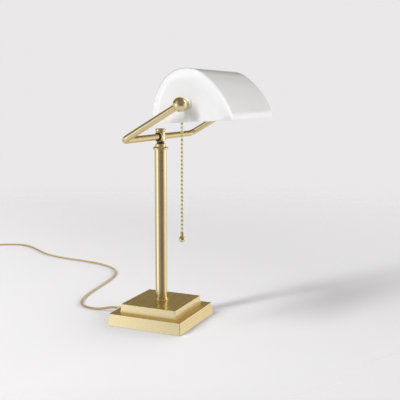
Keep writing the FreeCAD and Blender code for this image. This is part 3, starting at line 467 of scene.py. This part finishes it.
coilFacts = {
    "centre": (298.3, 647.7),
    "outer": 26.7,           # middle of the outermost turn
    "rings": 4,
    "low": 2.5,              # height of the lower layer's middle
    "start": 30.0,           # degrees where the first turn begins
    "step": 60.0,            # degrees that a change of ring takes
    "end": 92.0,
    "perTurn": 15,
}


def coilPoints(facts, thick):
    # rings from the outside in on the floor, then from the inside out on top of them
    rings = facts["rings"]
    inwards = [(facts["outer"] - thick * i, facts["low"]) for i in range(rings)]
    outwards = [(radius, facts["low"] + thick) for radius, _ in reversed(inwards)]
    turns = inwards + outwards
    last = 2 * rings - 1 + (facts["end"] - facts["start"]) / 360
    swell = 1 / math.cos(math.pi / facts["perTurn"])
    points = []
    for i in range(int(last * facts["perTurn"]) + 1):
        turn, part = divmod(i / facts["perTurn"], 1)
        here = turns[int(turn)]
        after = turns[min(int(turn) + 1, len(turns) - 1)]
        share = max(0.0, (part * 360 - (360 - facts["step"])) / facts["step"])
        share = share * share * (3 - 2 * share)
        radius = (here[0] + (after[0] - here[0]) * share) * swell
        height = here[1] + (after[1] - here[1]) * share
        angle = math.radians(facts["start"] + 360 * i / facts["perTurn"])
        points.append((facts["centre"][0] + radius * math.cos(angle),
                       facts["centre"][1] + radius * math.sin(angle), height))
    return points


def routeCurve(name, points):
    data = bpy.data.curves.new(name, "CURVE")
    data.dimensions = "3D"
    data.resolution_u = 8
    spline = data.splines.new("NURBS")
    spline.points.add(len(points) - 1)
    for point, place in zip(spline.points, points):
        point.co = (*(value * millimetre for value in place), 1.0)
    spline.order_u = 3
    spline.use_endpoint_u = True
    return data


def meshOf(data):
    holder = bpy.data.objects.new("holder", data)
    scene.collection.objects.link(holder)
    bpy.context.view_layer.update()
    made = bpy.data.meshes.new_from_object(holder.evaluated_get(bpy.context.evaluated_depsgraph_get()))
    bpy.data.objects.remove(holder)
    return made


def layCord():
    points = cordRoute + coilPoints(coilFacts, cordFacts["thick"]) + tailRoute
    data = routeCurve("cordRoute", points)
    line = [vertex.co.copy() for vertex in meshOf(data).vertices]
    data.bevel_depth = cordFacts["thick"] / 2 * millimetre
    data.bevel_resolution = 3
    data.use_fill_caps = True
    mesh = meshOf(data)
    mesh.name = "powerCord"
    runs = [0.0]
    for before, after in zip(line, line[1:]):
        runs.append(runs[-1] + (after - before).length)
    return mesh, line, runs[-1]


cordMesh, cordLine, cordLength = layCord()
powerCord = bpy.data.objects.new("powerCord", cordMesh)
scene.collection.objects.link(powerCord)
print("cord laid:", round(cordLength, 4), "m,", len(cordMesh.vertices), "vertices")


def braidedCord(start):
    around, along, _ = start.node("ShaderNodeUVMap", {"uv_map": "UVMap"}, {}).axes()
    turn = 2 * math.pi * cordFacts["braidTurn"]
    climb = 2 * math.pi * cordLength * 1000 / cordFacts["braidStep"] * cordFacts["braidTurn"]
    right = (around * turn + along * climb).wave()
    left = (around * turn - along * climb).wave()
    weave = right.size().larger(left.size())
    place = objectPlace(start)
    fleck = place.grain(cordFacts["flecks"], 2.0, 0.6)
    fade = place.grain(cordFacts["fades"], 2.0, 0.5).between(0.35, 0.65)
    ofFleck, ofFade, ofStrand = cordFacts["shares"]
    mask = (fleck * ofFleck + fade * ofFade + (right > 0.0) * ofStrand).between(0.3, 0.75)
    return surface(start, **{"Base Color": mask.blend(cordFacts["goldColour"], cordFacts["brownColour"]),
                             "Roughness": fleck * cordFacts["fleckRoughness"] + cordFacts["roughness"],
                             "Sheen Weight": cordFacts["sheen"],
                             "Normal": weave.relief(cordFacts["strandDepth"], cordFacts["strandRelief"])})


# finishes for the record's slots

finishes = {
    "satin_brass": makeFinish("satinBrass", turnedBrass("x")),
    "chain_brass": makeFinish("polishedBrass", polishedBrass),
    # a dark grey metal for the neck between the column's cap and the cross block
    "dark_steel": makeFinish("darkNeckMetal", greyMetal((0.10, 0.085, 0.07), 0.25, 500.0, 0.00003)),
    "cast_iron": makeFinish("roughCastIron", greyMetal((0.16, 0.155, 0.15), 0.5, 700.0, 0.0002)),
    "zinc_steel": makeFinish("zincPlate", greyMetal((0.62, 0.63, 0.64), 0.2, 300.0, 0.00004)),
    "dark_felt": makeFinish("pressedFelt", pressedFelt),
    "black_nylon": makeFinish("blackNylon", moulded((0.018, 0.017, 0.016), 0.4)),
    "white_nylon": makeFinish("whiteNylon", moulded((0.74, 0.73, 0.70), 0.35)),
    "gold_plastic": makeFinish("goldPlastic", moulded((0.42, 0.31, 0.14), 0.35)),
    "opal_glass": makeFinish("opalGlass", opalGlass),
    "bulb_frost": makeFinish("frostedBulb", frostedBulb),
    "porcelain": makeFinish("glazedCeramic", glazedCeramic),
    "lead_vinyl": makeFinish("brownVinyl", moulded((0.10, 0.065, 0.035), 0.35)),
    "dark_rubber": makeFinish("brownPlug", moulded((0.045, 0.03, 0.02), 0.38)),
    "cord_braid": makeFinish("braidedCord", braidedCord),
    "plug_brass": makeFinish("plugBrass", greyMetal((0.86, 0.70, 0.36), 0.18, 400.0, 0.00002)),
}
plateFinish = makeFinish("plateBrass", plateBrass)
uprightFinish = makeFinish("uprightBrass", turnedBrass("z"))

slotOf = {part["node"]: part["material_slot"] for part in frame["record"]["subparts"]}
special = {
    "base_plate_lower": plateFinish, "base_plate_upper": plateFinish,
    "column_tube": makeFinish("drawnBrass", drawnBrass), "yoke_tube": makeFinish("yokeBrass", yokeBrass),
}
for nodeName in ("column_foot_collar", "column_cap", "cross_block", "clamp_cap"):
    special[nodeName] = uprightFinish
for nodeName, piece in frame["nodes"].items():
    piece.data.materials.clear()
    piece.data.materials.append(special.get(nodeName, finishes[slotOf[nodeName]]))
powerCord.data.materials.append(finishes["cord_braid"])
print("finishes given to", len(frame["nodes"]) + 1, "pieces")

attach(powerCord, "stand")
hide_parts("mains_cord", "cord_coil", "cord_tail")

# floor and light

studio = {
    "floorColour": (0.762, 0.759, 0.762),
    # the floor's colour away from the key lamps is painted shade, darker than the lit floor
    "paintedShadeColour": (0.60, 0.597, 0.60),
    "floorRadius": 3.0,
    "floorRoughness": 0.85,
    "floorShine": 0.1,
    "mottle": 6.0,
    "mottleShare": 0.06,
    "paintedShadeEdges": (-0.5, 0.55),  # metres from the middle, away from the key lamps, over which the floor's painted shade comes in
    "fade": (0.6, 2.0),      # metres from the middle where the floor starts and ends its fade
    "roomFade": 3.2,         # how much sooner it fades towards the dim side
    "roomEdges": (0.3, 0.9),
    "paper": (0.823, 0.808, 0.815),
    "dimColour": (0.92, 0.79, 0.56),
    "ambient": 0.42,
    "fill": 4.3,             # the broad low light on the shade's front
    "fillTurn": 305.0,
    "keyStrength": 3.05,
    "keyTurn": 150.0,        # degrees from +X towards +Y
    "keyHeights": (23.0, 31.0, 39.0, 47.0, 56.0),
    "keySpread": 9.0,
    "roomTurn": 230.0,       # where the dim side of the room is
    "underfoot": 0.8,        # the floor as polished metal sees it
}
# the studio that polished metal sees: degrees round from +X, and brightness near the floor
cards = [(0, 0.85), (64, 0.85), (98, 0.6), (116, 0.9), (130, 1.6), (146, 1.85), (151, 1.15), (158, 0.6),
         (168, 0.45), (180, 0.38), (195, 0.28), (215, 0.15), (245, 0.15), (262, 0.35), (280, 0.85),
         (300, 1.05), (322, 1.0), (340, 0.9), (360, 0.85)]
tallCards = [(0, 0.0), (118, 0.0), (135, 1.0), (155, 1.0), (172, 0.0), (294, 0.0), (299, 1.0), (315, 1.0),
             (320, 0.0), (360, 0.0)]
skyFacts = {
    "brightest": 2.0,        # full scale of the ramp over the cards
    "cardEdges": (0.08, 0.26),
    "aboveCards": 0.22,
    "tallEdges": (0.6, 0.85),
    "tallFoot": -0.1,
    "tallStrength": 0.8,
    "stripStrength": 2.6,    # the narrow strip at the right is brighter
    "stripAfter": 0.6,       # of a full turn
    "steepEdges": (-0.6, -0.25),
    "fillEdges": (0.45, 0.65),
    "dimEdges": (0.1, 0.5),
}


def floorPaint(start):
    place = objectPlace(start)
    x, y, _ = place.axes()
    away = (x * x + y * y) ** 0.5
    room = math.radians(studio["roomTurn"])
    towardsRoom = ((x * math.cos(room) + y * math.sin(room)) / away).between(*studio["roomEdges"])
    # painted shade: the floor's colour darkens away from the key lamps in place of their light falling off;
    # the mottle added to it is the paper's own tone
    key = math.radians(studio["keyTurn"])
    paintedKeyFalloff = (-math.cos(key) * x - y * math.sin(key)).between(*studio["paintedShadeEdges"])
    mask = paintedKeyFalloff + place.grain(studio["mottle"], 2.0, 0.5) * studio["mottleShare"]
    paper = surface(start, **{"Base Color": mask.blend(studio["floorColour"], studio["paintedShadeColour"]),
                              "Roughness": studio["floorRoughness"],
                              "Specular IOR Level": studio["floorShine"]})
    clear = start.node("ShaderNodeBsdfTransparent", {}, {})
    faded = (away * (1 + towardsRoom * studio["roomFade"])).between(*studio["fade"])
    return start.node("ShaderNodeMixShader", {}, {0: faded, 1: paper, 2: clear})


def layFloor():
    shape = bmesh.new()
    bmesh.ops.create_circle(shape, cap_ends=True, segments=96, radius=studio["floorRadius"])
    mesh = bpy.data.meshes.new("floor")
    shape.to_mesh(mesh)
    shape.free()
    floor = bpy.data.objects.new("floor", mesh)
    scene.collection.objects.link(floor)
    mesh.materials.append(makeFinish("paperFloor", floorPaint))
    floor.visible_glossy = False


def keyLight():
    # a tall narrow light: one lamp above another
    turn = math.radians(studio["keyTurn"])
    for i, degrees in enumerate(studio["keyHeights"]):
        data = bpy.data.lights.new(f"keyLight{i}", "SUN")
        data.energy = studio["keyStrength"] / len(studio["keyHeights"])
        data.angle = math.radians(studio["keySpread"])
        lamp = bpy.data.objects.new(f"keyLight{i}", data)
        height = math.radians(degrees)
        towards = Vector((math.cos(height) * math.cos(turn), math.cos(height) * math.sin(turn),
                          math.sin(height)))
        lamp.matrix_world = towards.to_track_quat("Z", "Y").to_matrix().to_4x4()
        lamp.visible_glossy = False
        scene.collection.objects.link(lamp)


def greyStops(stops, scale):
    return [(place / 360, (level / scale,) * 3 + (1.0,)) for place, level in stops]


def paintSky(facts):
    sky = bpy.data.worlds.new("studioSky")
    sky.use_nodes = True
    scene.world = sky
    tree = sky.node_tree
    tree.nodes.clear()
    start = Wire(tree)
    x, y, z = start.node("ShaderNodeTexCoord", {}, {}, take=0).axes()
    turn = y.maths("ARCTAN2", y, x) / (2 * math.pi)
    turn = turn + (0.0 > turn) * 1.0
    full = facts["brightest"]
    low = start.node("ShaderNodeValToRGB", {"stops": greyStops(cards, full)}, {0: turn}) * full
    tall = start.node("ShaderNodeValToRGB", {"stops": greyStops(tallCards, 1.0)}, {0: turn})
    lowPart = 1 - z.between(*facts["cardEdges"])
    onStrip = turn > facts["stripAfter"]
    tallLevel = facts["tallStrength"] + onStrip * (facts["stripStrength"] - facts["tallStrength"])
    tallPart = tall * (1 - z.between(*facts["tallEdges"])) * tallLevel
    above = facts["aboveCards"]
    gloss = (above + lowPart * (low - above)).larger(tallPart * (z > facts["tallFoot"]))
    steep = 1 - z.between(*facts["steepEdges"])
    gloss = gloss * (1 - steep) + steep * studio["underfoot"]
    seen = start.node("ShaderNodeLightPath", {}, {}, take=0)
    shiny = start.node("ShaderNodeLightPath", {}, {}, take=3)
    fillTurn = math.radians(studio["fillTurn"])
    towardsFill = (x * math.cos(fillTurn) + y * math.sin(fillTurn)).larger(0.0)
    fill = towardsFill * (1 - z.between(*facts["fillEdges"]))
    matt = fill * (z > 0.0) * studio["fill"] + studio["ambient"]
    strength = seen + shiny * gloss + (1 - seen) * (1 - shiny) * matt
    tint = (1 - shiny * (1 - gloss.between(*facts["dimEdges"]))).blend(studio["dimColour"], studio["paper"])
    background = start.node("ShaderNodeBackground", {}, {"Color": tint, "Strength": strength})
    start.node("ShaderNodeOutputWorld", {}, {"Surface": background})


layFloor()
paintSky(skyFacts)
keyLight()
print("floor and lights set")
